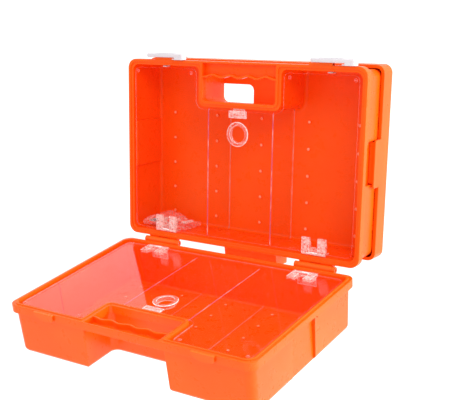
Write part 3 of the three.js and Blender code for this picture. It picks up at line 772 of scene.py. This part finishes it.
def cover_hinge_leaf(side):
    """Two lugs that clip round the plate's lower edge, and the bridge that joins them."""
    slot_front, slot_back = PLATE_LOW.y - GAP, PLATE_HIGH.y + GAP
    front, back = slot_front - LUG_WALL, slot_back + LUG_WALL
    middle = (PLATE_LOW.y + PLATE_HIGH.y) / 2
    centre = side * PLATE_HINGE_X
    low, floor = PLATE_HINGE_Z - 0.5, PLATE_HINGE_Z + KNUCKLE + 0.7 - GAP
    section = [
        (front, low), (back, low), (back, 21), (back + 2.9, 24), (back + 2.9, 30), (back, LUG_TOP - 3),
        (back, LUG_TOP), (slot_back, LUG_TOP), (slot_back, floor), (slot_front, floor), (slot_front, LUG_TOP),
        (front, LUG_TOP),
    ]
    inner = KNUCKLE_HALF + GAP
    lugs = []
    for start, end in ((-PLATE_HINGE_HALF, -inner), (inner, PLATE_HINGE_HALF)):
        lug = prism("yz", section, centre + start, centre + end, 0.25)
        eye = rod("x", KNUCKLE, centre + start + 0.1, centre + end - 0.1, (0, middle, PLATE_HINGE_Z))
        lugs.append(union(lug, eye))
    bridge = block((centre - inner - 1, centre + inner + 1), (slot_back + 0.05, back - 0.05), (21.5, 27), 0.2)
    leaf = union(merged(lugs), bridge)
    return cut(leaf, rod("x", PLATE_PIN_BORE, centre - 30, centre + 30, (0, middle, PLATE_HINGE_Z), 0))


def cover_hinge_base(side):
    """The foot that stands in the shell and carries the middle knuckle."""
    middle = (PLATE_LOW.y + PLATE_HIGH.y) / 2
    centre = side * PLATE_HINGE_X
    x = (centre - KNUCKLE_HALF, centre + KNUCKLE_HALF)
    knuckle = rod("x", KNUCKLE, *x, (0, middle, PLATE_HINGE_Z))
    arm = block(x, (middle, 15), (PLATE_HINGE_Z - 2, PLATE_HINGE_Z + 0.4), 0.3)
    foot = block((centre - 15, centre + 15), (9, 22), (BOTTOM + RIM_WIDTH + 0.9, PLATE_HINGE_Z - 0.6), 0.5)
    bore = rod("x", PLATE_PIN_BORE, centre - 30, centre + 30, (0, middle, PLATE_HINGE_Z), 0)
    return cut(union(knuckle, arm, foot), bore)


def cover_hinge_pin(side):
    middle = (PLATE_LOW.y + PLATE_HIGH.y) / 2
    reach = PLATE_HINGE_HALF - 0.5
    centre = side * PLATE_HINGE_X
    return rod("x", 0.9, centre - reach, centre + reach, (0, middle, PLATE_HINGE_Z), 0.2, 16)


def divider(side):
    outline = rectangle(DIVIDER_LOW.y, DIVIDER_HIGH.y, DIVIDER_LOW.z, DIVIDER_HIGH.z, 4)
    return prism("yz", outline, *span(side, DIVIDER_LOW.x, DIVIDER_HIGH.x), 0.3)


# ---- case latches ----
def case_latch(node):
    """A bar with a block at its right end; the stem under it holds it in the shell's slot."""
    low, high = rear_box(node)
    left = high.x - 16
    under, over = BULGE_TOP + GAP, high.z
    bar_outline = rounded([(low.x, low.y, 5), (high.x, low.y, 5), (high.x, 16.5, 15), (low.x, 16.5, 5)], 10)
    bar = prism("xy", bar_outline, under, over, 1.3)
    outline = rounded([(left, low.y, 0.5), (high.x, low.y, 5), (high.x, 9, 9), (left, 9, 0.5)], 10)
    end = prism("xy", outline, TOP + 0.5, under + 1, 0.4)
    prongs = merged([block((left - 4, left + 1), y, (TOP + 0.9, BULGE_TOP - 1.2), 0.3)
                     for y in ((2.2, 6.2), (-6.2, -2.2))])
    stem_x = (left - 29.5, left - 26.5)
    stem = block(stem_x, (SLOT[0] + GAP, SLOT[1] - GAP), (TOP - 11, under + 1), 0.3)
    foot = block((stem_x[0] - 2, stem_x[1] + 2), (9, 19), (TOP - 11, TOP - 9.2), 0.4)
    ribs = merged([block((left + x, left + x + 1.2), (low.y - 1, 17.5), (over - 0.5, over + 1), 0)
                   for x in (2, 5, 8, 11)])
    hollow = block((left - 46, left - 6), (low.y + 3.5, 12.5), (over - 0.9, over + 1), 0)
    return cut(union(bar, end, prongs, stem, foot), ribs, hollow)


# ---- wall bracket ----
def bracket_window(side):
    inner, outer, low, high = WINDOW
    return prism("xz", rectangle(*span(side, inner, outer), low, high, 9, 10), *THROUGH_BACK, 0)


def bracket_tab(side):
    """The springy side plate that carries a hook."""
    outline = rectangle(CLIP_FRONT, BRACKET_FRONT + 6, *CLIP, 4)
    return prism("yz", outline, *span(side, HALF - BRACKET_WALL, HALF), 0.6)


def bracket_hook(side):
    """The nose inside a tab that snaps into the shell's recess."""
    reach = HALF - BAND_STEP - RECESS_DEPTH + 0.6
    profile = [(HALF - 0.4, CLIP_FRONT + 0.3), (reach + 0.4, CLIP_FRONT + 0.8), (reach, CLIP_FRONT + 1.6),
               (reach, CLIP_FRONT + 3), (HALF - 1, CLIP_FRONT + 9)]
    outline = [(side * x, y) for x, y in profile]
    return prism("xy", outline, CLIP[0] + 7, CLIP[1] - 3, 0.4)


def bracket_lip():
    """The hollow lip under the case, open at the back."""
    outside = [(54, BOTTOM + 2), (54, BOTTOM), (41, BOTTOM - 1.5), (46, LIP_BOTTOM), (78, LIP_BOTTOM),
               (78, BOTTOM + 2)]
    floor = LIP_BOTTOM + BRACKET_WALL
    inside = [(57, BOTTOM + 3), (57, BOTTOM - 2.6), (44, BOTTOM - 4), (48.6, floor), (90, floor),
              (90, BOTTOM - 3), (75, BOTTOM - 3), (75, BOTTOM + 3)]
    inner = LIP_HALF - BRACKET_WALL
    return cut(prism("yz", outside, -LIP_HALF, LIP_HALF, 0.6), prism("yz", inside, -inner, inner, 0))


def wall_bracket():
    """A shallow tray with its back on the wall; its section is swept round the case's outline."""
    back, floor = WALL_FACE, WALL_FACE - BRACKET_PLATE
    front = BRACKET_FRONT
    steps = [(3, back), (0.9, back), (0.25, back - 0.25), (0, back - 0.9), (0, front + 0.9),
             (0.25, front + 0.25), (0.9, front), (3.9, front), (4.6, front + 0.25), (4.8, front + 0.9),
             (4.8, front + 2.2), (BRACKET_WALL, front + 4), (BRACKET_WALL, floor - 1.5),
             (3.0, floor - 0.5), (4.1, floor), (7, floor)]
    rings = []
    for inset, y in steps:
        outline = rectangle(-HALF + inset, HALF - inset, BOTTOM + inset, TOP - inset, 12 - inset, 10)
        rings.append([(p.x, y, p.y) for p in outline])
    body = loft(rings)
    sink = [(0.01, 76), (6, 76), (6, 77.01), (3, 79), (0.01, 79)]
    screws = [rod("y", 3, *THROUGH_BACK, (x, 0, z), 0) for x, z in SCREWS]
    sinks = [turned(sink, (x, 0, z), 24) for x, z in SCREWS]
    body = cut(body, both_sides(bracket_window), merged(screws), merged(sinks))
    return union(body, both_sides(bracket_tab), both_sides(bracket_hook), bracket_lip())


# ---- bag of spare clips ----
def parts_bag():
    """A soft film pouch: swollen in the middle, flat at its open end, crumpled all over."""
    rings = []
    steps = 26
    for k in range(steps + 1):
        part = k / steps
        swell = 0.35
        if part < 0.8:
            swell = 0.12 + 0.88 * math.sin(math.pi * min(1, part * 1.15 + 0.1)) ** 0.8
        x = BAG_LOW.x + 1 + (BAG_HIGH.x - BAG_LOW.x - 2) * part
        tall = max(2.5, (BAG_HIGH.z - BAG_LOW.z - 1) * swell)
        low = BAG_LOW.z + 0.4
        ring = []
        for p in rectangle(BAG_LOW.y + 2, BAG_HIGH.y - 2, low, low + tall, tall * 0.45, 8):
            crease = noise.noise(Vector((x / 11, p.x / 9, p.y / 9))) * 3.2
            fine = noise.noise(Vector((x / 3.5, p.x / 4, p.y / 4))) * 0.9
            lift = (p.y - BAG_LOW.z) / (BAG_HIGH.z - BAG_LOW.z)
            ring.append((x, p.x + crease * 0.5, max(BAG_LOW.z + 0.2, p.y + min(0, (crease + fine) * lift))))
        rings.append(ring)
    return loft(rings)


# ---- assembly ----
for place, side, case_body in ((REAR, "rear", "rear_case"), (FRONT, "front", "front_case")):
    cover, latch = f"{side}_cover", f"{side}_cover_latch"
    fitting = ([FITTING, FITTING_HIGHLIGHT], slanting)
    half = ("case_plastic", [f"{side}_shell"], place, [CASE, STUD_HIGHLIGHT], stud_highlight)
    show(half_shell(side == "rear"), f"{side}_case_half", case_body, *half)
    plate = ("clear_plastic", [f"{side}_cover_plate"], place, [SHEET, SHEET_EDGE], off_front)
    show(cover_plate(), f"{side}_clear_cover", cover, *plate)
    ring = ("clear_plastic", [f"{side}_finger_ring"], place, [RING, FITTING_HIGHLIGHT], ring_rim)
    show(finger_ring(), f"{side}_pull_ring", cover, *ring)
    thumb = ("clear_plastic", [f"{side}_cover_latch"], place, *fitting)
    show(cover_latch(), f"{side}_thumb_latch", latch, *thumb)
    for sign, hand in ((-1, "left"), (1, "right")):
        names = f"{side}_{hand}_cover_hinge_"
        clip = ("clear_plastic", [names + "leaf"], place, *fitting)
        show(cover_hinge_leaf(sign), f"{side}_{hand}_clip_leaf", cover, *clip)
        foot = ("clear_plastic", [names + "base"], place, *fitting)
        show(cover_hinge_base(sign), f"{side}_{hand}_clip_base", case_body, *foot)
        pin = ("clear_plastic", [names + "pin"], place, [FITTING])
        show(cover_hinge_pin(sign), f"{side}_{hand}_clip_pin", case_body, *pin)
        wall = ([f"{side}_{hand}_divider"], place, [SHEET, DIVIDER_FRONT, DIVIDER_BACK], divider_face)
        show(divider(sign), f"{side}_{hand}_clear_divider", case_body, "clear_plastic", *wall)

show(wall_bracket(), "bracket_tray", "rear_case", "bracket_plastic", ["wall_bracket"], REAR, [BRACKET])
for hand in ("left", "right"):
    node = f"{hand}_case_latch"
    show(case_latch(node), f"{hand}_slide_latch", node, "latch_plastic", [node], REAR, [WHITE])
    low, high = rear_box(f"{hand}_lid_hinge_pin")
    pin = rod("x", (high.z - low.z) / 2, low.x, high.x, (0, 0, 0), 0.3, 24)
    show(pin, f"{hand}_hinge_rod", "rear_case", "pin_steel", [f"{hand}_lid_hinge_pin"], REAR, [STEEL])
show(parts_bag(), "clip_bag", "rear_case", "bag_film", ["parts_bag"], REAR, [FILM], None, 60)

for name, node in frame["nodes"].items():
    if name.startswith("spare_clip"):
        node.data.materials.clear()
        # every spare clip but the grey one gets the painted highlight copy
        node.data.materials.append(GREY if name == "spare_clip_1" else FITTING_HIGHLIGHT)
        weld = node.modifiers.new("weld", "WELD")
        weld.merge_threshold = 0.00002
        soften = node.modifiers.new("soften", "BEVEL")
        soften.width = 0.0003
        soften.segments = 2
        soften.limit_method = "ANGLE"
        soften.angle_limit = math.radians(35)
        node.modifiers.new("even_shading", "WEIGHTED_NORMAL")

# ---- studio ----
LIT_BY_WALLS = (-0.8, 0.4, 0.92, 1.25)  # where the light changes, front to back, and its strength at each
SEEN_MIRRORED = (-0.6, 0.5, 0.03, 1.0)
SEEN_BY_CAMERA = 1.1  # the walls look at least this bright themselves
FLOOR_HALF = 2.2
FLOOR_DROP = 0.55  # the case hangs on a wall, so the floor is well below it
CAMERA_AT = Vector((0.7238, -1.2437, 0.2076))
AZIMUTH, ELEVATION, ROLL = (math.radians(a) for a in (36.47, 14.04, -0.11))
LENS = 74.1
SHIFT = (0.1464, 0.1026)


def studio_floor():
    n = Nodes("floor_paint")
    tone = n.ramp(n.noise(3, 2), [(0.3, (0.9, 0.9, 0.9)), (0.7, (0.93, 0.93, 0.93))])
    matt = n.add("ShaderNodeBsdfPrincipled", {"Base Color": tone, "Roughness": 0.8})
    material = n.finish(matt.outputs["BSDF"])
    height = CAD_BOX[0][2] - FLOOR_DROP
    size = FLOOR_HALF
    corners = [(-size, -size, height), (size, -size, height), (size, size, height), (-size, size, height)]
    floor = solid(corners, [(0, 1, 2, 3)])
    floor.name = "studio_floor"
    floor.data.materials.append(material)


def softbox(name, at, target, size, power):
    light = bpy.data.lights.new(name, "AREA")
    light.shape = "SQUARE"
    light.size = size
    light.energy = power
    obj = bpy.data.objects.new(name, light)
    obj.location = at
    obj.rotation_euler = (Vector(target) - Vector(at)).to_track_quat("-Z", "Y").to_euler()
    bpy.context.scene.collection.objects.link(obj)


def studio_walls():
    """White walls all round, brighter behind the case than in front of it.

    Polished surfaces mirror them dim in front, and the camera sees them white from everywhere.
    """
    world = bpy.data.worlds.new("studio")
    world.use_nodes = True
    tree = world.node_tree
    tree.nodes.clear()
    way = tree.nodes.new("ShaderNodeTexCoord")
    parts = tree.nodes.new("ShaderNodeSeparateXYZ")
    falls = []
    for settings in (LIT_BY_WALLS, SEEN_MIRRORED):
        fall = tree.nodes.new("ShaderNodeMapRange")
        for socket, value in zip(("From Min", "From Max", "To Min", "To Max"), settings):
            fall.inputs[socket].default_value = value
        tree.links.new(parts.outputs["Y"], fall.inputs["Value"])
        falls.append(fall)
    path = tree.nodes.new("ShaderNodeLightPath")
    choose = tree.nodes.new("ShaderNodeMix")
    seen = tree.nodes.new("ShaderNodeMath")
    seen.operation = "MULTIPLY"
    seen.inputs[1].default_value = SEEN_BY_CAMERA
    brightest = tree.nodes.new("ShaderNodeMath")
    brightest.operation = "MAXIMUM"
    background = tree.nodes.new("ShaderNodeBackground")
    output = tree.nodes.new("ShaderNodeOutputWorld")
    tree.links.new(way.outputs["Generated"], parts.inputs[0])
    tree.links.new(path.outputs["Is Glossy Ray"], choose.inputs[0])
    tree.links.new(falls[0].outputs["Result"], choose.inputs[2])
    tree.links.new(falls[1].outputs["Result"], choose.inputs[3])
    tree.links.new(path.outputs["Is Camera Ray"], seen.inputs[0])
    tree.links.new(choose.outputs[0], brightest.inputs[0])
    tree.links.new(seen.outputs[0], brightest.inputs[1])
    tree.links.new(brightest.outputs[0], background.inputs["Strength"])
    tree.links.new(background.outputs[0], output.inputs["Surface"])
    background.inputs["Color"].default_value = (1, 1, 1, 1)
    bpy.context.scene.world = world


def camera():
    level = math.cos(ELEVATION)
    back = Vector((math.sin(AZIMUTH) * level, -math.cos(AZIMUTH) * level, math.sin(ELEVATION)))
    right = (-back).cross(Vector((0, 0, 1))).normalized()
    up = right.cross(-back)
    tilted = math.cos(ROLL) * right + math.sin(ROLL) * up
    above = -math.sin(ROLL) * right + math.cos(ROLL) * up
    data = bpy.data.cameras.new("camera")
    data.lens = LENS
    data.sensor_width = 36
    data.shift_x, data.shift_y = SHIFT
    obj = bpy.data.objects.new("camera", data)
    obj.matrix_world = Matrix.Translation(CAMERA_AT) @ Matrix((tilted, above, back)).transposed().to_4x4()
    bpy.context.scene.collection.objects.link(obj)
    bpy.context.scene.camera = obj


studio_floor()
softbox("key", (1.5, -1.6, 1.5), (0, -0.1, 0), 0.9, 17)
softbox("fill", (-1.6, -1.9, 0.9), (0, -0.1, 0), 1.5, 5)
softbox("side", (1.9, 0.45, 0.5), (0, -0.1, 0), 1.0, 38)
softbox("top", (0.2, -0.3, 2.2), (0, -0.1, 0), 1.6, 14)
studio_walls()
bpy.context.scene.view_settings.view_transform = "Standard"
bpy.context.scene.cycles.transparent_max_bounces = 24
bpy.context.scene.cycles.diffuse_bounces = 8
camera()
